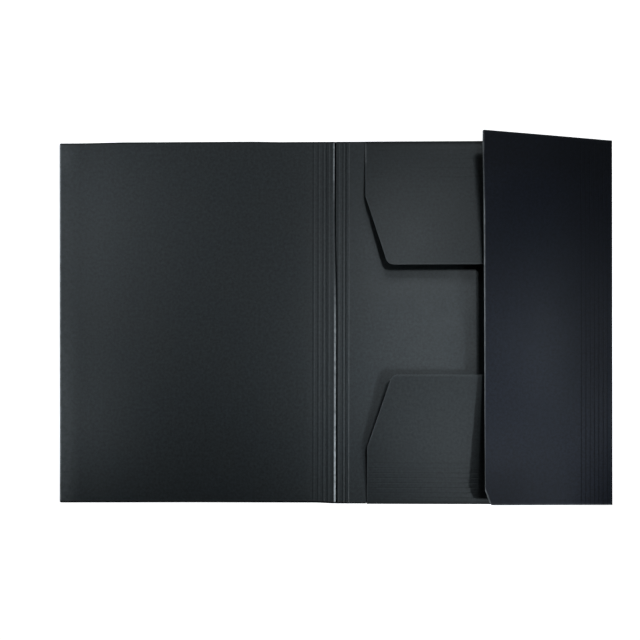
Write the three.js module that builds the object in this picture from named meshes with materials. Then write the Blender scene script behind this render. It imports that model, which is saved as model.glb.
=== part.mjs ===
// Three-flap document folder for 24 x 32 cm documents, die-cut and scored from one sheet of pressboard.
// It lies open on a table: front cover on the left, back panel on the right, and the three flaps folded in over the back panel, each still sprung up a little from its fold.
//
// Millimetres. +X runs from the front cover to the side flap, +Y along the spine, +Z up from the table.
// The origin is the middle of the open folder's outline, at table height.
//
// The sheet is divided at its score lines. Each area between two scores is one flat piece of card, with a small clearance at every crease, so that neighbours can turn about the crease between them.
import * as THREE from "three";

// ---- driving dimensions ----
// The spine bends at its third and eighth scores, on the inner face of the card, and each flap about its fold.
const CARD = 0.6; // thickness of the card
const GAP = 0.3; // clearance at a crease, and between a flap pressed shut and the panel below it

const HALF_WIDTH = 244.1; // middle to each side of the open folder
const HALF_HEIGHT = 160; // middle to the top and the bottom edge

const SPINE_FIRST = -18.4; // x of the spine score next to the front cover
const SPINE_PITCH = 4.37; // from one spine score to the next
const SPINE_SCORES = 8;

const END_FLAP_LEFT = 28.2; // x of the left edge of the top and bottom flaps
const END_FLAP_LENGTH = 112.9; // fold to free edge
const END_FLAP_STRAIGHT = 50.5; // how far the left edge runs square to the fold
const END_FLAP_SLANT = 19.1; // how far the left edge then leans in
const END_FLAP_RIGHT_FOOT = 218; // x of the right end at the fold
const END_FLAP_RIGHT_TIP = 137; // x of the right end at the free edge
const END_FLAP_RADIUS = 7.5; // rounded corners at the free edge
const END_FLAP_SCORES = 8;
const BOTTOM_FLAP_FIRST_SCORE = 5.6; // fold to the first score
const BOTTOM_FLAP_PITCH = 4.34;
const TOP_FLAP_FIRST_SCORE = 4;
const TOP_FLAP_PITCH = 4.2;
const END_FLAP_RAISED = 6.2; // degrees above the panel as it lies

const SIDE_FLAP_LENGTH = 118.6; // fold to free edge
const SIDE_FLAP_FIRST_SCORE = 4.8;
const SIDE_FLAP_PITCH = 4.06;
const SIDE_FLAP_SCORES = 7;
const SIDE_FLAP_RAISED = 9.1; // degrees above the panel as it lies
const SIDE_FLAP_CUT = [6, 14]; // slanted corner at the bottom of the free edge: along the flap, along the edge
const CORNER = 1.4; // small rounding of the outer corners

// ---- colours ----
const charcoal = (hex, roughness) =>
  new THREE.MeshStandardMaterial({ color: hex, roughness, metalness: 0 });
const COVER = charcoal(0x2c2f32, 0.55);
const SPINE = charcoal(0x313437, 0.5);
const PANEL = charcoal(0x303437, 0.55);
const FLAP = charcoal(0x34393d, 0.55);
const SIDE = charcoal(0x262b31, 0.5);

// ---- outlines ----
// A closed outline from corner points [x, y, radius]: each corner with a radius is rounded by an arc.
function outline(corners, steps = 8) {
  const shape = [];
  corners.forEach(([x, y, r = 0], i) => {
    if (!r) {
      shape.push(new THREE.Vector2(x, y));
      return;
    }
    const here = new THREE.Vector2(x, y);
    const [px, py] = corners[(i + corners.length - 1) % corners.length];
    const [nx, ny] = corners[(i + 1) % corners.length];
    const back = new THREE.Vector2(px, py).sub(here).normalize();
    const on = new THREE.Vector2(nx, ny).sub(here).normalize();
    const half = Math.acos(back.dot(on)) / 2;
    const reach = r / Math.tan(half);
    const centre = back
      .clone()
      .add(on)
      .normalize()
      .multiplyScalar(r / Math.sin(half))
      .add(here);
    const from = back.clone().multiplyScalar(reach).add(here).sub(centre);
    const to = on.clone().multiplyScalar(reach).add(here).sub(centre);
    const turn = Math.atan2(
      from.x * to.y - from.y * to.x,
      from.x * to.x + from.y * to.y,
    );
    for (let k = 0; k <= steps; k++) {
      const a = (turn * k) / steps;
      shape.push(
        new THREE.Vector2(
          centre.x + from.x * Math.cos(a) - from.y * Math.sin(a),
          centre.y + from.x * Math.sin(a) + from.y * Math.cos(a),
        ),
      );
    }
  });
  return shape;
}

// The part of a convex outline between two lines of constant coordinate.
function between(points, axis, low, high) {
  const keep = (pts, inside, at) => {
    const out = [];
    pts.forEach((p, i) => {
      const q = pts[(i + 1) % pts.length];
      if (inside(p)) out.push(p);
      if (inside(p) !== inside(q)) {
        const share = (at - p[axis]) / (q[axis] - p[axis]);
        out.push(p.clone().lerp(q, share));
      }
    });
    return out;
  };
  const above = keep(points, (p) => p[axis] >= low, low);
  return keep(above, (p) => p[axis] <= high, high);
}

// A flat piece of card with the given outline, its lower face at height z.
function card(name, points, z, material) {
  const geometry = new THREE.ExtrudeGeometry(new THREE.Shape(points), {
    depth: CARD,
    bevelEnabled: false,
    curveSegments: 1,
  });
  const mesh = new THREE.Mesh(geometry, material);
  mesh.name = name;
  mesh.position.z = z;
  return mesh;
}

const folder = new THREE.Group();

// ---- front cover, spine and back panel, flat on the table ----
const spineScore = (k) => SPINE_FIRST + SPINE_PITCH * k;
const spineEnd = spineScore(SPINE_SCORES - 1);

folder.add(
  card(
    "front_cover",
    outline([
      [-HALF_WIDTH + 0.03, -HALF_HEIGHT, CORNER],
      [SPINE_FIRST - GAP / 2, -HALF_HEIGHT],
      [SPINE_FIRST - GAP / 2, HALF_HEIGHT],
      [-HALF_WIDTH + 0.03, HALF_HEIGHT, CORNER],
    ]),
    0,
    COVER,
  ),
);

for (let k = 1; k < SPINE_SCORES; k++) {
  const left = spineScore(k - 1) + GAP / 2;
  const right = spineScore(k) - GAP / 2;
  folder.add(
    card(
      "spine_strip_" + k,
      outline([
        [left, -HALF_HEIGHT],
        [right, -HALF_HEIGHT],
        [right, HALF_HEIGHT],
        [left, HALF_HEIGHT],
      ]),
      0,
      SPINE,
    ),
  );
}

folder.add(
  card(
    "back_panel",
    outline([
      [spineEnd + GAP / 2, -HALF_HEIGHT + GAP / 2],
      [HALF_WIDTH - GAP / 2, -HALF_HEIGHT + GAP / 2],
      [HALF_WIDTH - GAP / 2, HALF_HEIGHT - GAP / 2],
      [spineEnd + GAP / 2, HALF_HEIGHT - GAP / 2],
    ]),
    0,
    PANEL,
  ),
);

// ---- flaps ----
// A flap is drawn in its fold's own frame: x along the fold, y from the fold towards the free edge, z up through the flap as it lies shut. The fold line is the x axis, half a gap above the panel, so that a flap turned right over lies flat on the table beside the panel.
const FOLD_HEIGHT = CARD + GAP / 2;

function flap(points, first, pitch, scores, names, raised, x, y, turn, finish) {
  const place = new THREE.Group();
  place.position.set(x, y, FOLD_HEIGHT);
  place.rotation.z = turn;
  const tilt = new THREE.Group();
  tilt.rotation.x = THREE.MathUtils.degToRad(raised);
  place.add(tilt);
  let low = GAP / 2;
  for (let k = 0; k < scores; k++) {
    const at = first + pitch * k;
    tilt.add(
      card(
        names + "_strip_" + (k + 1),
        between(points, "y", low, at - GAP / 2),
        GAP / 2,
        finish,
      ),
    );
    low = at + GAP / 2;
  }
  tilt.add(
    card(names + "_panel", between(points, "y", low, 1e4), GAP / 2, finish),
  );
  folder.add(place);
}

// The bottom flap's outline. The top flap is the same cut, mirrored.
const endFlap = outline([
  [END_FLAP_LEFT, 0],
  [END_FLAP_RIGHT_FOOT, 0],
  [END_FLAP_RIGHT_TIP, END_FLAP_LENGTH, END_FLAP_RADIUS],
  [END_FLAP_LEFT + END_FLAP_SLANT, END_FLAP_LENGTH, END_FLAP_RADIUS],
  [END_FLAP_LEFT, END_FLAP_STRAIGHT],
]);
const endFlapMirrored = endFlap
  .map((p) => new THREE.Vector2(-p.x, p.y))
  .reverse();

flap(
  endFlap,
  BOTTOM_FLAP_FIRST_SCORE,
  BOTTOM_FLAP_PITCH,
  END_FLAP_SCORES,
  "bottom_flap",
  END_FLAP_RAISED,
  0,
  -HALF_HEIGHT,
  0,
  FLAP,
);
flap(
  endFlapMirrored,
  TOP_FLAP_FIRST_SCORE,
  TOP_FLAP_PITCH,
  END_FLAP_SCORES,
  "top_flap",
  END_FLAP_RAISED,
  0,
  HALF_HEIGHT,
  Math.PI,
  FLAP,
);

const sideFlap = outline([
  [-HALF_HEIGHT, 0],
  [HALF_HEIGHT, 0],
  [HALF_HEIGHT, SIDE_FLAP_LENGTH, CORNER],
  [-HALF_HEIGHT + SIDE_FLAP_CUT[1], SIDE_FLAP_LENGTH],
  [-HALF_HEIGHT, SIDE_FLAP_LENGTH - SIDE_FLAP_CUT[0]],
]);
flap(
  sideFlap,
  SIDE_FLAP_FIRST_SCORE,
  SIDE_FLAP_PITCH,
  SIDE_FLAP_SCORES,
  "side_flap",
  SIDE_FLAP_RAISED,
  HALF_WIDTH,
  0,
  Math.PI / 2,
  SIDE,
);

export default folder;
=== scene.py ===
"""A three-flap document folder in charcoal pressboard, lying open and seen from above."""

import math

import bpy
import numpy as np
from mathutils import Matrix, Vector


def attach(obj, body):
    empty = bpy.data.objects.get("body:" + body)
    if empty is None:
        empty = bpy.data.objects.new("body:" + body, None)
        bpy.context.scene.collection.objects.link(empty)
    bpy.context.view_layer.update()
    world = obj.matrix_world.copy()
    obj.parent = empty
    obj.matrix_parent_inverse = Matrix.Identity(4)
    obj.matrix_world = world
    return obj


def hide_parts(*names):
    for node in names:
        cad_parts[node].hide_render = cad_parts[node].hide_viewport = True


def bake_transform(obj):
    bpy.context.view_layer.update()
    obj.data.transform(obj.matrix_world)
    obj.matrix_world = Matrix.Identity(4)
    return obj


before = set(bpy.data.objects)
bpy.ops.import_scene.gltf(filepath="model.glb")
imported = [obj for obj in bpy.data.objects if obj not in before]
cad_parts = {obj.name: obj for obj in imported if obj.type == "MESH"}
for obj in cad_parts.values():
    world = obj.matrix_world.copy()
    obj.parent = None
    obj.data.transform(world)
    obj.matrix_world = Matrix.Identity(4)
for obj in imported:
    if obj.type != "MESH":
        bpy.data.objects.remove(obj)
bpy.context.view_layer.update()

# ---------------------------------------------------------------- sizes, in millimetres
CARD = 0.6
HALF_W = 244.1
HALF_H = 160.0
SPINE_FIRST, SPINE_PITCH, SPINE_SCORES = -18.4, 4.37, 8
SCORES = [SPINE_FIRST + SPINE_PITCH * k for k in range(SPINE_SCORES)]
COVER_SEAM = (SCORES[2] + SCORES[3]) / 2
BACK_SEAM = (SCORES[6] + SCORES[7]) / 2
FOLD_Z = 0.75  # height of the flaps' fold lines
RIM = 0.16  # how far the rounded cut edge reaches in from the outline
PANEL_EDGE = 0.5  # the back panel's edge, in from the fold line
LEAN = 0.0023  # the side flap's fold leans a little, as a slope
TOP_FOLD, BOTTOM_FOLD = -0.4, 0.35  # how far out each fold lies from its nominal line


def smooth(a, b, x):
    t = np.clip((np.asarray(x, float) - a) / (b - a), 0, 1)
    return t * t * (3 - 2 * t)


# ---------------------------------------------------------------- gentle unevenness, repeatable
def waves(seed, count, low, high):
    rng = np.random.default_rng(seed)
    angle = rng.uniform(0, 2 * math.pi, count)
    length = rng.uniform(low, high, count)
    k = 2 * math.pi / length
    return np.stack([k * np.cos(angle), k * np.sin(angle), rng.uniform(0, 2 * math.pi, count), rng.uniform(0.4, 1.0, count)], 1)


def uneven(table, u, v):
    out = np.zeros(np.broadcast(u, v).shape)
    for ku, kv, phase, size in table:
        out = out + size * np.sin(ku * u + kv * v + phase)
    return out / math.sqrt(len(table))


# ---------------------------------------------------------------- outlines
def outline(corners, steps=10):
    """Corner points (x, y, radius), anticlockwise, with each radius drawn as an arc."""
    out = []
    n = len(corners)
    for i, c in enumerate(corners):
        here = np.array(c[:2], float)
        r = c[2] if len(c) > 2 else 0
        if not r:
            out.append(here)
            continue
        back = np.array(corners[i - 1][:2], float) - here
        on = np.array(corners[(i + 1) % n][:2], float) - here
        back, on = back / np.linalg.norm(back), on / np.linalg.norm(on)
        half = math.acos(float(back @ on)) / 2
        mid = (back + on) / np.linalg.norm(back + on)
        centre = here + mid * r / math.sin(half)
        a = here + back * r / math.tan(half) - centre
        b = here + on * r / math.tan(half) - centre
        turn = math.atan2(a[0] * b[1] - a[1] * b[0], float(a @ b))
        for k in range(steps + 1):
            t = turn * k / steps
            out.append(centre + np.array([a[0] * math.cos(t) - a[1] * math.sin(t), a[0] * math.sin(t) + a[1] * math.cos(t)]))
    return np.array(out)


def half_planes(points):
    """Outward normals and offsets of a convex anticlockwise outline's edges."""
    nxt = np.roll(points, -1, 0)
    d = nxt - points
    keep = np.linalg.norm(d, axis=1) > 1e-9
    d, p = d[keep], points[keep]
    n = np.stack([d[:, 1], -d[:, 0]], 1) / np.linalg.norm(d, axis=1)[:, None]
    return n, np.sum(n * p, 1)


# ---------------------------------------------------------------- a sheet of card
RIM_PROFILE = [(0.45, 0.95), (0.8, 0.78), (0.97, 0.45), (1.0, 0.1), (1.0, -0.25), (0.92, -0.62), (0.6, -0.9)]


def make_sheet(name, points, rows, dist_cols, place, cuts, top_relief=None, bottom_relief=None, tint=None, thickness=CARD, material=None, reverse=None):
    """A closed sheet over a convex outline in its own (u, v) plane.

    rows are v values. dist_cols(v, left, right) gives the u values of a row. cuts says which of the four sides are cut edges with a rounded rim:
    left, right, low and high. place(u, v, h) maps the sheet's plane and the height from its middle surface to space."""
    normals, offsets = half_planes(points)

    def inset(n):
        side = "left" if n[0] < -0.7 else "right" if n[0] > 0.7 else "low" if n[1] < 0 else "high"
        return RIM if side in cuts else 0.0

    inset_by = np.array([inset(n) for n in normals])

    def bounds_at(v, amount):
        low, high = -1e9, 1e9
        for (nu, nv), c, e in zip(normals, offsets, inset_by * amount):
            if nu < -1e-9:
                low = max(low, (c - e - nv * v) / nu)
            elif nu > 1e-9:
                high = min(high, (c - e - nv * v) / nu)
        return low, high

    rows = np.array(rows, float)
    v_low = rows[0] + (RIM if "low" in cuts else 0)
    v_high = rows[-1] - (RIM if "high" in cuts else 0)
    # a free edge that slopes a little has its last row where the sheet is still 2 mm wide
    fits = lambda v: bounds_at(v, 1)[1] - bounds_at(v, 1)[0] >= 2.0
    if not fits(v_high):
        low, high = v_high - 3, v_high
        for _ in range(40):
            middle = (low + high) / 2
            low, high = (middle, high) if fits(middle) else (low, middle)
        v_high = low
    rows = np.unique(np.round(np.clip(rows, v_low, v_high), 5))
    grid_u = []
    for v in rows:
        low, high = bounds_at(v, 1)
        grid_u.append(dist_cols(v, low, high))
    u = np.array(grid_u)
    m, n = u.shape
    v = np.repeat(rows[:, None], n, 1)
    upper = top_relief(u, v) if top_relief else np.zeros_like(u)
    lower = bottom_relief(u, v) if bottom_relief else np.zeros_like(u)
    half = thickness / 2

    # distance to the nearest cut edge
    def edge_distance(uu, vv):
        d = np.full(np.shape(uu), 1e3)
        for (nu, nv), c, e in zip(normals, offsets, inset_by):
            if e > 0:
                d = np.minimum(d, c - (nu * uu + nv * vv))
        return np.maximum(d, 0)

    coords, flat, edge, shade = [], [], [], []

    def add(uu, vv, hh, distance=None):
        uu, vv, hh = (np.asarray(a, float).ravel() for a in (uu, vv, hh))
        start = sum(len(c) for c in coords)
        coords.append(np.stack(place(uu, vv, hh), 1))
        flat.append(np.stack([uu, vv, hh], 1))
        edge.append(edge_distance(uu, vv) if distance is None else np.full(len(uu), float(distance)))
        shade.append(tint(uu, vv, hh) if tint else np.zeros((len(uu), 2)))
        return start

    top0 = add(u, v, half + upper)
    bot0 = add(u, v, -half + lower)
    at = lambda base, i, j: base + i * n + j
    faces = []
    for i in range(m - 1):
        for j in range(n - 1):
            faces.append((at(top0, i, j), at(top0, i, j + 1), at(top0, i + 1, j + 1), at(top0, i + 1, j)))
            faces.append((at(bot0, i, j), at(bot0, i + 1, j), at(bot0, i + 1, j + 1), at(bot0, i, j + 1)))
    two_sides = len(faces)

    loop = [(0, j) for j in range(n)] + [(i, n - 1) for i in range(1, m)] + [(m - 1, j) for j in range(n - 2, -1, -1)] + [(i, 0) for i in range(m - 2, 0, -1)]
    out_u, out_v = [], []
    for i, j in loop:
        here = []
        if i == 0 and "low" in cuts:
            here.append((0.0, -1.0))
        if i == m - 1 and "high" in cuts:
            here.append((0.0, 1.0))
        for side, col, sign in (("left", 0, -1.0), ("right", n - 1, 1.0)):
            if j == col and side in cuts:
                a, b = max(i - 1, 0), min(i + 1, m - 1)
                slope = (u[b, col] - u[a, col]) / (rows[b] - rows[a])
                w = np.array([sign, -sign * slope])
                here.append(tuple(w / np.linalg.norm(w)))
        if here:
            w = np.sum(here, 0)
            w = w / np.linalg.norm(w)
            if len(here) == 2 and abs(np.dot(here[0], here[1])) < 0.3:
                w = w * 1.3
            out_u.append(w[0] * RIM)
            out_v.append(w[1] * RIM)
        else:
            out_u.append(0.0)
            out_v.append(0.0)
    out_u, out_v = np.array(out_u), np.array(out_v)
    li = np.array([i for i, _ in loop])
    lj = np.array([j for _, j in loop])
    bu, bv = u[li, lj], v[li, lj]
    bt, bb = upper[li, lj], lower[li, lj]
    rings = [np.array([at(top0, i, j) for i, j in loop])]
    for c, h in RIM_PROFILE:
        mix = (h + 1) / 2
        base = add(bu + out_u * c, bv + out_v * c, h * half + bt * mix + bb * (1 - mix), 0.0)
        rings.append(base + np.arange(len(loop)))
    rings.append(np.array([at(bot0, i, j) for i, j in loop]))
    for a, b in zip(rings, rings[1:]):
        for k in range(len(loop)):
            q = (k + 1) % len(loop)
            faces.append((a[k], b[k], b[q], a[q]))

    mesh = bpy.data.meshes.new(name)
    xyz = np.concatenate(coords) * 0.001
    mesh.from_pydata([tuple(p) for p in xyz], [], [tuple(int(x) for x in f) for f in faces])
    mesh.materials.append(material)
    mesh.materials.append(reverse)
    mesh.polygons.foreach_set("material_index", [k % 2 if k < two_sides else 0 for k in range(len(faces))])
    mesh.validate()
    mesh.update()
    for label, data, kind, key in (
        ("sheet", np.concatenate(flat) * 0.001, "FLOAT_VECTOR", "vector"),
        ("edge_mm", np.concatenate(edge), "FLOAT", "value"),
        ("worn", np.concatenate(shade)[:, 0], "FLOAT", "value"),
        ("dark", np.concatenate(shade)[:, 1], "FLOAT", "value"),
    ):
        attribute = mesh.attributes.new(label, kind, "POINT")
        attribute.data.foreach_set(key, np.ascontiguousarray(data, np.float32).ravel())
    mesh.polygons.foreach_set("use_smooth", [True] * len(mesh.polygons))
    obj = bpy.data.objects.new(name, mesh)
    bpy.context.scene.collection.objects.link(obj)
    return obj


def spread(low, high, step):
    return list(np.linspace(low, high, max(2, int(round((high - low) / step)) + 1)))


def near(value, offsets):
    return [value + o for o in offsets]


ACROSS = (-1.5, -1.15, -0.85, -0.6, -0.4, -0.22, -0.1, 0, 0.1, 0.22, 0.4, 0.6, 0.85, 1.15, 1.5)
EDGE_STEPS = (0.0, 0.16, 0.35, 0.7, 1.4, 3.0, 6.0)


def bump(x, at, half, height):
    t = np.clip(1 - ((x - at) / half) ** 2, 0, 1)
    return height * t * t


# ---------------------------------------------------------------- materials
def card_material(name, colour, cool, rough, edge_colour, seed, grain=1.0, level=0.5, wear_and_highlight_colour=(0.72, 0.75, 0.77)):
    mat = bpy.data.materials.new(name)
    mat.use_nodes = True
    nt = mat.node_tree
    nodes, links = nt.nodes, nt.links
    nodes.clear()
    out = nodes.new("ShaderNodeOutputMaterial")
    shader = nodes.new("ShaderNodeBsdfPrincipled")
    links.new(shader.outputs[0], out.inputs[0])
    shader.inputs["IOR"].default_value = 1.5
    shader.inputs["Specular IOR Level"].default_value = level

    def attribute(label, socket):
        node = nodes.new("ShaderNodeAttribute")
        node.attribute_name = label
        return node.outputs[socket]

    def math_node(kind, a, b=None, clamp=False):
        node = nodes.new("ShaderNodeMath")
        node.operation = kind
        node.use_clamp = clamp
        for k, x in enumerate((a, b)):
            if x is None:
                continue
            if isinstance(x, (int, float)):
                node.inputs[k].default_value = x
            else:
                links.new(x, node.inputs[k])
        return node.outputs[0]

    def noise(scale, detail, roughness, stretch=None, offset=0.0):
        mapping = nodes.new("ShaderNodeMapping")
        links.new(attribute("sheet", "Vector"), mapping.inputs["Vector"])
        mapping.inputs["Location"].default_value = (seed * 0.37 + offset, seed * 0.21 - offset, 0)
        if stretch:
            mapping.inputs["Scale"].default_value = stretch
        node = nodes.new("ShaderNodeTexNoise")
        links.new(mapping.outputs[0], node.inputs["Vector"])
        node.inputs["Scale"].default_value = scale
        node.inputs["Detail"].default_value = detail
        node.inputs["Roughness"].default_value = roughness
        return node.outputs["Fac"]

    def ramp(value, stops):
        node = nodes.new("ShaderNodeValToRGB")
        links.new(value, node.inputs[0])
        el = node.color_ramp.elements
        while len(el) < len(stops):
            el.new(0.5)
        for e, (pos, col) in zip(el, stops):
            e.position = pos
            e.color = (*col, 1) if len(col) == 3 else col
        return node.outputs[0]

    def mix(fac, a, b, kind="MIX"):
        node = nodes.new("ShaderNodeMix")
        node.data_type = "RGBA"
        node.blend_type = kind
        for socket, x in ((node.inputs[0], fac), (node.inputs[6], a), (node.inputs[7], b)):
            if isinstance(x, (int, float)):
                socket.default_value = x
            elif isinstance(x, tuple):
                socket.default_value = (*x, 1)
            else:
                links.new(x, socket)
        return node.outputs[2]

    base = tuple(c * 1.247 for c in colour)
    other = tuple(c * 1.247 for c in cool)
    blotch = noise(26.0, 3.0, 0.55)
    mottle = noise(420.0, 3.0, 0.6, offset=1.7)
    fibre_a = noise(900.0, 2.0, 0.55, stretch=(1.0, 0.16, 1.0), offset=3.1)
    fibre_b = noise(900.0, 2.0, 0.55, stretch=(0.2, 1.0, 1.0), offset=5.3)
    col = mix(ramp(blotch, [(0.35, (0, 0, 0)), (0.65, (1, 1, 1))]), base, other)
    col = mix(0.85, col, ramp(mottle, [(0.3, (0.30, 0.30, 0.31)), (0.7, (1.0, 1.0, 1.0))]), "MULTIPLY")
    fleck = math_node("MULTIPLY", ramp(fibre_a, [(0.58, (0, 0, 0)), (0.75, (1, 1, 1))]), 0.22)
    col = mix(fleck, col, tuple(min(1.0, c * 1.77) for c in base))
    # lighter lines, partly rubbed and partly painted highlight, and the fibrous cut edge
    worn = attribute("worn", "Fac")
    broken = ramp(noise(210.0, 2.0, 0.6, offset=7.9), [(0.3, (0.45, 0.45, 0.45)), (0.62, (1, 1, 1))])
    col = mix(math_node("MULTIPLY", worn, broken, True), col, tuple(wear_and_highlight_colour))
    edge = attribute("edge_mm", "Fac")
    rim = math_node("SUBTRACT", 1.0, math_node("MULTIPLY", edge, 1 / 0.32), True)
    rim_mix = math_node("MULTIPLY", rim, ramp(noise(600.0, 2.0, 0.6, offset=9.1), [(0.25, (0.55, 0.55, 0.55)), (0.7, (1, 1, 1))]), True)
    col = mix(rim_mix, col, tuple(edge_colour))
    # painted shade: the dark attribute turns the colour nearly black in creases, along folds, in the slit and at edges
    dark = attribute("dark", "Fac")
    col = mix(dark, col, (0.0006, 0.0007, 0.0008))
    links.new(col, shader.inputs["Base Color"])

    r = ramp(noise(60.0, 3.0, 0.6, offset=11.0), [(0.3, (rough - 0.012,) * 3), (0.7, (rough + 0.02,) * 3)])
    r = mix(math_node("MAXIMUM", rim_mix, dark), r, (0.85, 0.85, 0.85))
    links.new(r, shader.inputs["Roughness"])

    fine = math_node("ADD", math_node("MULTIPLY", mottle, 0.6), math_node("ADD", math_node("MULTIPLY", fibre_a, 0.5), math_node("MULTIPLY", fibre_b, 0.5)))
    b1 = nodes.new("ShaderNodeBump")
    b1.inputs["Strength"].default_value = 0.22 * grain
    b1.inputs["Distance"].default_value = 0.00012
    links.new(fine, b1.inputs["Height"])
    b2 = nodes.new("ShaderNodeBump")
    b2.inputs["Strength"].default_value = 0.018 * grain
    b2.inputs["Distance"].default_value = 0.0003
    links.new(noise(95.0, 2.0, 0.5, offset=13.0), b2.inputs["Height"])
    links.new(b1.outputs[0], b2.inputs["Normal"])
    links.new(b2.outputs[0], shader.inputs["Normal"])
    return mat


EDGE_GREY = (0.30, 0.32, 0.33)
INNER = dict(colour=(0.0165, 0.0222, 0.0258), cool=(0.0182, 0.0230, 0.0255), rough=0.49, edge_colour=EDGE_GREY)
COVER_MAT = card_material("pressboard_cover", seed=1, **INNER)
SPINE_MAT = card_material("pressboard_spine", seed=1, **INNER)
BACK_MAT = card_material("pressboard_back", seed=1, **INNER)
FLAP_MAT = card_material("pressboard_end_flap", seed=4, colour=(0.0142, 0.0186, 0.0212), cool=(0.0152, 0.0192, 0.0212), rough=0.49, edge_colour=(0.16, 0.17, 0.18), level=0.4)
# painted shade: the side flap's outer face is the same card as the end flaps' outer faces, given a darker colour and a
# weaker sheen for how it lies to the lamps
SIDE_SHADED_MAT = card_material("pressboard_side_flap_shaded", seed=6, colour=(0.0050, 0.0079, 0.0168), cool=(0.0056, 0.0083, 0.0174), rough=0.49, edge_colour=EDGE_GREY, level=0.2)

# ---------------------------------------------------------------- cover, spine and back panel
lift_cover = waves(11, 6, 130, 380)
lift_back = waves(12, 6, 120, 340)
BEAD = 0.13
MAIN = 4  # the score that the folder has been bent along most: an open crease whose left wall is pale, partly rubbed and partly a painted highlight
SLIT = 1.6  # from the middle of the pale line to the slit beside it, which carries painted shadow
LAST = SPINE_SCORES - 1
BEAD_SIZE = (0.8, 0.9, 1.15, 1.0, 0, 1.0, 1.25, 1.45)


def crease_x(v):
    """The main crease wanders a little to the right on its way down."""
    return SCORES[MAIN] + 1.25 * smooth(95, 5, v)


def crease_contrast(v):
    """How strongly the crease's pale line and its painted shadow show: strong at the top end, hardly at all below it,
    and then more and more towards the bottom end. The pale line is partly rubbed and partly a painted highlight on the
    crease's lit left wall.
    """
    return np.clip(0.05 + 0.55 * smooth(95, 145, v) + 0.45 * smooth(52, -20, v) + 0.5 * smooth(-70, -135, v), 0, 1)


def spine_relief_top(u, v):
    z = np.zeros_like(u)
    for k, at in enumerate(SCORES):
        if k == MAIN:
            x = crease_x(v)
            z = z + bump(u, x - 1.6, 1.2, 0.04) - bump(u, x + SLIT, 0.95, 0.42) + bump(u, x + 3.1, 1.1, 0.05)
        elif k == LAST:
            z = z + bump(u, at + 0.45, 0.75, BEAD * BEAD_SIZE[k]) - bump(u, at - 2.0, 0.6, 0.07)
        else:
            z = z + bump(u, at + 0.25, 1.05, BEAD * BEAD_SIZE[k]) - bump(u, at - 1.05, 0.6, 0.04)
    return z


def spine_relief_bottom(u, v):
    z = np.zeros_like(u)
    for k, at in enumerate(SCORES):
        z = z + bump(u, at, 0.5, 0.16)
    return z


def spine_tint(u, v, h):
    worn = np.zeros_like(u)
    dark = np.zeros_like(u)
    inner = (h > 0).astype(float)
    contrast = crease_contrast(v)
    x = crease_x(v)
    # the main crease: a pale left wall, partly rubbed and partly painted highlight, painted shadow in the slit beside
    # it and softer painted shade to its left
    worn = np.maximum(worn, np.minimum(1, bump(u, x + 0.3, 1.08 - 0.25 * smooth(20, 60, v), 3.0)) * contrast * inner)
    dark = np.maximum(dark, np.minimum(1, bump(u, x + SLIT + 0.1, 0.95, 2.2)) * (0.5 + 0.5 * np.minimum(1, 2 * contrast)) * inner)
    dark = np.maximum(dark, np.minimum(1, bump(u, x - 1.6, 1.4, 0.55)) * contrast * inner)
    # every other score: painted shade to the left of its bead and a faint painted highlight on its right
    for k, at in enumerate(SCORES):
        if k != MAIN:
            dark = np.maximum(dark, (bump(u, at - 2.0, 0.6, 0.6) if k == LAST else bump(u, at - 1.05, 0.7, 0.3)) * inner)
            worn = np.maximum(worn, (bump(u, at + 0.5, 0.6, 0.1) if k == LAST else bump(u, at + 0.5, 0.6, 0.012)) * inner)
    # the cover's left cut edge is rubbed pale and the strip beside it has a painted highlight; the top and bottom edges
    # carry a thin painted shadow
    worn = np.maximum(worn, np.maximum(0.5 * smooth(1.6, 1.15, u + HALF_W), (0.022 + 0.026 * smooth(30, -20, v) + 0.02 * smooth(-90, -140, v) + 0.034 * smooth(125, 148, v)) * smooth(18, 3, u + HALF_W)) * inner)
    dark = np.maximum(dark, (0.6 * smooth(158.2, 159.0, v) + 0.95 * smooth(-158.2, -159.0, v)) * inner)
    return np.stack([worn, dark], 1)


def place_flat(u, v, h):
    """The part of the folder that lies on the table. It stays on it, apart from a slight spring in the board."""
    lift = 0.16 * (1 + uneven(lift_cover, u, v) * 0.5)
    lift = lift * smooth(0, 40, np.abs(u - SCORES[MAIN])) * (1 - smooth(150, 160, np.abs(v)) * 0.6)
    curl = 1.1 * np.clip((u + HALF_W - 34) / -34, 0, 1) ** 2
    # the cut edges aren't quite straight: the top edge rises a little over the cover and drops to its corner
    upper = 0.5 * smooth(-45, -75, u) - 1.15 * np.clip((-190 - u) / 54, 0, 1)
    lower = 0.4 * smooth(-240, -110, u) * smooth(2, -20, u) - 0.35 * smooth(-15, 5, u) * smooth(28.2, 27.8, u)
    shift = upper * np.clip((v - 130) / 30, 0, 1) + lower * np.clip((-v - 130) / 30, 0, 1)
    # the left and right edges lean a little
    lean = -(0.12 + 0.0026 * v) * smooth(-200, -240, u) - LEAN * v * smooth(150, 240, u)
    return u + lean, v + shift, CARD / 2 + h + lift + curl


def place_back(u, v, h):
    """The back panel reaches the full height up to where the flaps' folds begin, and from there on it ends at the folds."""
    beside = smooth(28.2, 27.8, u)
    near_end = np.clip((np.abs(v) - (HALF_H - PANEL_EDGE - 12)) / 12, 0, 1)
    reach = PANEL_EDGE * beside + np.where(v > 0, TOP_FOLD, BOTTOM_FOLD) * (1 - beside)
    return place_flat(u, v + np.sign(v) * reach * near_end, h)


def columns(low, high, extra, left_cut, right_cut, step):
    u = spread(low, high, step) + [e for e in extra if low < e < high]
    if left_cut:
        u += near(low, EDGE_STEPS)
    if right_cut:
        u += near(high, [-e for e in EDGE_STEPS])
    u = sorted(u)
    out = [u[0]]
    for x in u[1:]:
        if x - out[-1] > 0.045:
            out.append(x)
    out[-1] = high
    return np.array(out)


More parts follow.
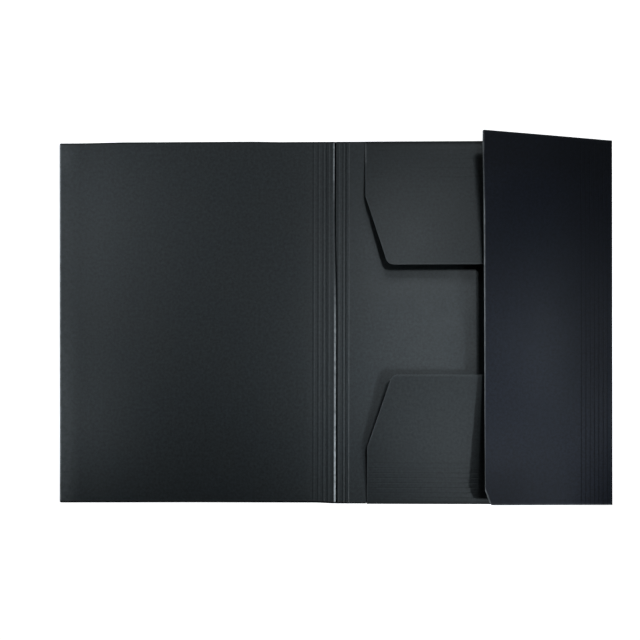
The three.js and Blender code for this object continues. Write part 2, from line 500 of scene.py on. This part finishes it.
score_cols = [c for k, at in enumerate(SCORES) if k != MAIN for c in near(at, ACROSS)] + list(np.arange(SCORES[MAIN] - 3.2, SCORES[MAIN] + 5.0, 0.14))


def straight_columns(nominal):
    """Columns given once and carried to each row in proportion, so that every row has as many."""
    a, b = nominal[0], nominal[-1]

    def at(v, low, high):
        return low + (nominal - a) / (b - a) * (high - low)

    return at


flat_rows = sorted(set(np.round(spread(-HALF_H, HALF_H, 6.0) + near(-HALF_H, (0.0, 0.05, 0.12, 0.2, 0.35, 0.6, 1.0, 1.4, 2.2, 4.0)) + near(HALF_H, (-0.05, -0.12, -0.2, -0.35, -0.6, -1.0, -1.4, -2.2, -4.0)), 4)))

cover = make_sheet(
    "front_cover_sheet",
    outline([(-HALF_W + 0.03, -HALF_H, 1.4), (COVER_SEAM, -HALF_H), (COVER_SEAM, HALF_H), (-HALF_W + 0.03, HALF_H, 1.4)]),
    flat_rows,
    straight_columns(columns(-HALF_W + 0.03 + RIM, COVER_SEAM, score_cols, True, False, 6.0)),
    place_flat,
    ("left", "low", "high"),
    spine_relief_top,
    spine_relief_bottom,
    spine_tint,
    material=COVER_MAT,
    reverse=FLAP_MAT,
)
spine = make_sheet(
    "spine_sheet",
    outline([(COVER_SEAM, -HALF_H), (BACK_SEAM, -HALF_H), (BACK_SEAM, HALF_H), (COVER_SEAM, HALF_H)]),
    flat_rows,
    straight_columns(columns(COVER_SEAM, BACK_SEAM, score_cols, False, False, 2.0)),
    place_flat,
    ("low", "high"),
    spine_relief_top,
    spine_relief_bottom,
    spine_tint,
    material=SPINE_MAT,
    reverse=FLAP_MAT,
)
back_rows = sorted(set(np.round([r * (HALF_H - PANEL_EDGE) / HALF_H for r in flat_rows], 4)))
back = make_sheet(
    "back_panel_sheet",
    outline([(BACK_SEAM, -HALF_H + PANEL_EDGE), (HALF_W - PANEL_EDGE, -HALF_H + PANEL_EDGE, 0.8), (HALF_W - PANEL_EDGE, HALF_H - PANEL_EDGE, 0.8), (BACK_SEAM, HALF_H - PANEL_EDGE)]),
    back_rows,
    straight_columns(columns(BACK_SEAM, HALF_W - PANEL_EDGE - RIM, score_cols + [27.7, 27.82, 27.94, 28.06, 28.18, 28.3], False, True, 6.0)),
    place_back,
    ("right", "low", "high"),
    spine_relief_top,
    spine_relief_bottom,
    spine_tint,
    material=BACK_MAT,
    reverse=FLAP_MAT,
)

# ---------------------------------------------------------------- flaps


def flap_sheet(name, points, raised, first, pitch, scores, origin, turn, cuts, bow, seed, material, groove, shade, tip_wear_and_highlight, side_wear_and_highlight, fold_shade, stretch=None, width_step=6.0, lean=0.0, shading=None):
    """A flap with its fold: flat card from the fold to the free edge, and the fold's half turn down to the back panel's edge."""
    a = math.radians(raised)
    mid = CARD / 2 + 0.15
    yc = PANEL_EDGE
    r = mid + yc * math.tan(a / 2)
    zc = r - mid
    v_tangent = yc * math.cos(a) + zc * math.sin(a)
    arc = r * (math.pi - a)
    v_end = v_tangent - arc
    length = points[:, 1].max()
    at_scores = [first + pitch * k for k in range(scores)]
    table = waves(seed, 5, 90, 260)
    c, s = math.cos(turn), math.sin(turn)
    edge_n, edge_c = half_planes(points)
    sides = [(n, k) for n, k in zip(edge_n, edge_c) if n[1] > -0.5 and n[1] < 0.98]

    def place(u, v, h):
        flat = v >= v_tangent
        vv = np.maximum(v, v_tangent)
        if stretch:
            vv = vv * (1 + stretch(u) / length)
        lift = bow(u, vv) + 0.12 * uneven(table, u, vv) * smooth(10, 60, vv)
        w = mid + h + lift
        y1 = vv * math.cos(a) - w * math.sin(a)
        z1 = vv * math.sin(a) + w * math.cos(a)
        phi = math.pi / 2 + a + (v_tangent - v) / r
        y2 = yc + (r + h) * np.cos(phi)
        z2 = zc + (r + h) * np.sin(phi)
        y, z = np.where(flat, y1, y2) + lean * u, np.where(flat, z1, z2)
        return origin[0] + u * c - y * s, origin[1] + u * s + y * c, FOLD_Z + z

    rows = spread(v_end, v_tangent, 0.085)
    rows += near(v_tangent, (0.3, 0.8, 1.6, 2.6))
    for at in at_scores:
        rows += near(at, ACROSS)
    rows += spread(at_scores[-1] + 2.5, length - 8, 5.0)
    rows += near(length, [-x for x in (0.0, 0.16, 0.24, 0.35, 0.5, 0.7, 1.0, 1.4, 1.9, 2.5, 3.2, 4.1, 5.2, 6.5, 8.0)])
    for p in points:
        if 2 < p[1] < length - 0.2:
            rows.append(float(p[1]))
    rows = sorted(rows)
    kept = [rows[0]]
    for x in rows[1:]:
        if x - kept[-1] > 0.04:
            kept.append(x)
    kept[-1] = length
    # the outline reaches back round the fold at its full width
    low_u, high_u = points[points[:, 1] < 1e-6][:, 0].min(), points[points[:, 1] < 1e-6][:, 0].max()
    wide = np.array([p if p[1] > 1e-6 else (p[0], v_end) for p in points])
    nominal = columns(low_u + RIM, high_u - RIM, [], True, True, width_step)

    def top(u, v):
        z = np.zeros_like(u)
        for at in at_scores:
            z = z - bump(v, at, 0.55, groove) + bump(v, at - 0.75, 0.45, groove * 0.2) + bump(v, at + 0.75, 0.45, groove * 0.2)
        return z

    def bottom(u, v):
        z = np.zeros_like(u)
        for at in at_scores:
            z = z - bump(v, at, 0.9, BEAD)
        return z

    def tint(u, v, h):
        outer = (h > 0).astype(float)
        worn = np.zeros_like(u)
        dark = np.zeros_like(u)
        # painted shade in each score groove and along the fold, and the side flap's painted shade
        for at in at_scores:
            dark = np.maximum(dark, bump(v, at, 0.5, shade) * outer)
        dark = np.maximum(dark, np.maximum(0.6 * smooth(0.55, -0.2, v), fold_shade * smooth(3.5, 1.5, v)) * outer)
        if shading:
            dark = np.maximum(dark, shading(u, v) * outer)
        # pale free edge and cut sides: partly rubbed, partly painted highlight
        worn = np.maximum(worn, tip_wear_and_highlight(u) * smooth(length - 1.8, length - 1.1, v) * outer)
        for (nu, nv), c in sides:
            worn = np.maximum(worn, side_wear_and_highlight(u, v) * smooth(1.1, 0.6, c - (nu * u + nv * v)) * outer * (v > 1.5))
        return np.stack([worn, dark], 1)

    return make_sheet(name, wide, kept, straight_columns(nominal), place, cuts, top, bottom, tint, material=material, reverse=BACK_MAT)


BOTTOM = outline([(28.9, 0), (218, 0), (137, 112.9, 7.5), (50.0, 112.9, 6.5), (28.9, 50.5)], steps=12)
TOP = outline([(26.9, 0), (218, 0), (137, 112.9, 7.5), (46.0, 112.9, 7.5), (26.9, 50.5)], steps=12)
TOP = np.array([(-x, y) for x, y in TOP])[::-1]


def bow_end(u, v):
    return 0.0 * u


def bow_side(u, v):
    return 0.0 * u


bottom_flap = flap_sheet(
    "bottom_flap_sheet", BOTTOM, 6.2, 5.6, 4.34, 8, (0, -HALF_H - BOTTOM_FOLD), 0.0, ("left", "right", "high"), bow_end, 21, FLAP_MAT,
    groove=0.10, shade=0.22, tip_wear_and_highlight=lambda u: 0.014 + 0 * u, side_wear_and_highlight=lambda u, v: 0.012 + 0.01 * (v > 50), fold_shade=0.45,
)
top_flap = flap_sheet(
    "top_flap_sheet", TOP, 6.2, 4.0, 4.2, 8, (0, HALF_H + TOP_FOLD), math.pi, ("left", "right", "high"), bow_end, 22, FLAP_MAT,
    groove=0.04, shade=0.08, tip_wear_and_highlight=lambda u: 0.02 + 0 * u, side_wear_and_highlight=lambda u, v: 0.02 + 0.16 * smooth(24, 18, v), fold_shade=0.45,
)
SIDE = outline([(-HALF_H - 1.0, 0), (HALF_H - 0.5, 0), (HALF_H + 0.85, 118.6, 2.0), (70, 118.1), (-HALF_H + 14, 117.7, 3.0), (-HALF_H - 0.7, 118.2 - 6.3, 3.0)], steps=6)


def side_painted_shade(u, v):
    """Painted shade on the face: darker towards its fold and in two corners, and dark along the fold and the top end.
    """
    fold = 0.33 * smooth(75, 20, v) * smooth(-110, -20, u)
    upper = 0.34 * smooth(112, 146, u)
    lower = 0.35 * smooth(-103, -150, u) * smooth(32, 105, v)
    soft = 1 - (1 - fold) * (1 - upper) * (1 - lower)
    end = 0.75 * smooth(1.3, 0.7, HALF_H - 0.5 + 1.35 * v / 118.6 - u)
    return np.maximum(np.maximum(soft, 0.95 * smooth(1.0, 0.4, v)), end)


side_flap = flap_sheet(
    "side_flap_sheet", SIDE, 9.1, 4.8, 4.06, 7, (HALF_W, 0), math.pi / 2, ("left", "right", "high"), bow_side, 23, SIDE_SHADED_MAT,
    groove=0.09, shade=0.7, tip_wear_and_highlight=lambda u: 0.02 + 0.44 * smooth(-118, -63, u) * (1 - 0.5 * smooth(80, 112, u)) + 0.12 * smooth(138, 150, u), side_wear_and_highlight=lambda u, v: 0.12 + 0.08 * (u < 0), fold_shade=0.0,
    stretch=lambda u: 0.9 * smooth(85, 140, u) + 0.35 * smooth(-45, -75, u), lean=LEAN, shading=side_painted_shade,
)

# painted shade: the slit beside the pale crease line and thin lines along the lower and top edges get a near-black
# material without sheen
SLIT_SHADE_MAT = card_material("painted_shade_slit", seed=1, colour=(0.0016, 0.0020, 0.0023), cool=(0.0019, 0.0022, 0.0024), rough=0.8, edge_colour=EDGE_GREY, level=0.0)
for piece in (cover, spine, back):
    mesh = piece.data
    mesh.materials.append(SLIT_SHADE_MAT)
    sheet_at = np.empty(len(mesh.vertices) * 3, np.float32)
    mesh.attributes["sheet"].data.foreach_get("vector", sheet_at)
    corner = np.empty(len(mesh.loops), np.int32)
    mesh.loops.foreach_get("vertex_index", corner)
    first_corner = np.empty(len(mesh.polygons), np.int32)
    mesh.polygons.foreach_get("loop_start", first_corner)
    corners = np.empty(len(mesh.polygons), np.int32)
    mesh.polygons.foreach_get("loop_total", corners)
    middle = np.add.reduceat(sheet_at.reshape(-1, 3).astype(float)[corner] * 1000, first_corner, axis=0) / corners[:, None]
    u_mid, v_mid, h_mid = middle.T
    painted_shade_faces = (u_mid < 28) & ((v_mid < -159.1) | ((v_mid > 159.25) & (u_mid > -40)))
    if piece is spine:
        painted_shade_faces |= np.abs(u_mid - (crease_x(v_mid) + SLIT + 0.05)) < 0.3 + 0.25 * crease_contrast(v_mid)
    index = np.empty(len(mesh.polygons), np.int32)
    mesh.polygons.foreach_get("material_index", index)
    mesh.polygons.foreach_set("material_index", np.where(painted_shade_faces & (h_mid > -0.2) & (index == 0), 2, index).astype(np.int32))

# ---------------------------------------------------------------- the CAD parts that the sheets stand in for are hidden, and the spine sheet rides on the spine's body
strips = lambda name, first, last: [f"{name}_strip_{k}" for k in range(first, last + 1)]
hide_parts("front_cover", *strips("spine", 1, 2))
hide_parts(*strips("spine", 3, 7))
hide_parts("back_panel")
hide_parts("bottom_flap_panel", *strips("bottom_flap", 1, 8))
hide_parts("top_flap_panel", *strips("top_flap", 1, 8))
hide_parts("side_flap_panel", *strips("side_flap", 1, 7))
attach(spine, "spine")
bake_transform(cover)
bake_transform(back)
for piece, body in ((bottom_flap, "bottom_flap"), (top_flap, "top_flap"), (side_flap, "side_flap")):
    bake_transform(piece)

# ---------------------------------------------------------------- table top and backdrop, white and brightly lit


def plain_white(name, glow):
    mat = bpy.data.materials.new(name)
    mat.use_nodes = True
    p = mat.node_tree.nodes["Principled BSDF"]
    p.inputs["Base Color"].default_value = (0.9, 0.9, 0.9, 1)
    p.inputs["Roughness"].default_value = 0.9
    p.inputs["Specular IOR Level"].default_value = 0.0
    p.inputs["Emission Color"].default_value = (1, 1, 1, 1)
    p.inputs["Emission Strength"].default_value = glow
    return mat


bpy.ops.mesh.primitive_plane_add(size=16.0, location=(0, 0, -0.00006))
floor = bpy.context.active_object
floor.name = "table_top"
floor.data.materials.append(plain_white("white_table", 0.9))

bpy.ops.mesh.primitive_uv_sphere_add(segments=48, ring_count=24, radius=7.9, location=(0, 0, 0))
dome = bpy.context.active_object
dome.name = "backdrop"
dome.data.materials.append(plain_white("white_backdrop", 1.0))
dome.visible_diffuse = dome.visible_glossy = dome.visible_shadow = dome.visible_transmission = False

# ---------------------------------------------------------------- light


def lamp(kind, name, position, target, power, size, reach=None):
    """A disc lamp, or a lamp with a soft round beam that reaches so far from its target. Metres and watts."""
    light = bpy.data.lights.new(name, kind)
    light.energy = power * 1.05
    light.color = (0.86, 0.95, 1.0)
    if kind == "AREA":
        light.shape = "DISK"
        light.size = size
    else:
        light.shadow_soft_size = size
        light.spot_size = 2 * math.atan(reach / math.dist(position, target))
        light.spot_blend = 1.0
    obj = bpy.data.objects.new(name, light)
    bpy.context.scene.collection.objects.link(obj)
    obj.location = position
    obj.rotation_mode = "QUATERNION"
    obj.rotation_quaternion = (Vector(target) - Vector(position)).to_track_quat("-Z", "Y")
    return obj


lamp("AREA", "key", (0.21, 0.10, 0.6), (0.05, 0, 0), 0.55, 0.02)
lamp("AREA", "key_upper", (0.15, 0.16, 0.6), (0.05, 0, 0), 0.28, 0.02)
lamp("AREA", "fill_top_right", (0.33, 0.8, 0.8), (0, 0, 0), 1.42, 0.2)
lamp("AREA", "fill_top_left", (-0.4, 0.8, 0.8), (0, 0, 0), 0.80, 0.4)
lamp("SPOT", "cover_upper", (-0.6, 0.2, 0.5), (-0.25, 0.05, 0), 5.08, 0.10, 0.22)
lamp("SPOT", "cover_lower", (-0.7, -0.2, 0.6), (-0.22, -0.08, 0), 1.54, 0.10, 0.16)
lamp("SPOT", "cover_corner", (-0.7, -0.1, 0.5), (-0.27, -0.09, 0), 6.48, 0.05, 0.07)
lamp("SPOT", "cover_top", (-0.6, 0.3, 0.5), (-0.20, 0.13, 0), 1.92, 0.05, 0.09)
lamp("SPOT", "bottom_flap", (0.45, -0.30, 0.5), (0.10, -0.10, 0), 7.31, 0.03, 0.16)
lamp("SPOT", "bottom_flap_tip", (0.30, -0.45, 0.5), (0.06, -0.07, 0), 4.53, 0.03, 0.07)
lamp("SPOT", "side_flap_upper", (0.60, 0.05, 0.5), (0.19, 0.015, 0), 3.43, 0.04, 0.10)
lamp("SPOT", "side_flap_lower", (0.65, 0.0, 0.4), (0.18, -0.07, 0), 3.17, 0.04, 0.12)
lamp("SPOT", "top_flap_tip", (0.10, 0.45, 0.6), (0.06, 0.052, 0), 4.20, 0.05, 0.06)

world = bpy.data.worlds.new("studio")
bpy.context.scene.world = world
world.use_nodes = True
bg = world.node_tree.nodes["Background"]
bg.inputs[0].default_value = (1, 1, 1, 1)
bg.inputs[1].default_value = 0.03

# ---------------------------------------------------------------- camera, straight above, as in the photograph
camera_data = bpy.data.cameras.new("camera")
camera_data.sensor_width = 36.0
camera_data.lens = 36.0 * 710.87 / 640
camera_data.shift_x = (320 - 310.43) / 640
camera_data.shift_y = (466.97 - 320) / 640
camera_data.clip_start, camera_data.clip_end = 0.05, 20
camera = bpy.data.objects.new("camera", camera_data)
bpy.context.scene.collection.objects.link(camera)
camera.location = (-0.01148, -0.12892, 0.630)
camera.rotation_euler = (math.radians(0.080), math.radians(0.864), math.radians(0.098))
bpy.context.scene.camera = camera
bpy.context.scene.view_settings.view_transform = "Standard"
bpy.context.scene.view_settings.look = "None"
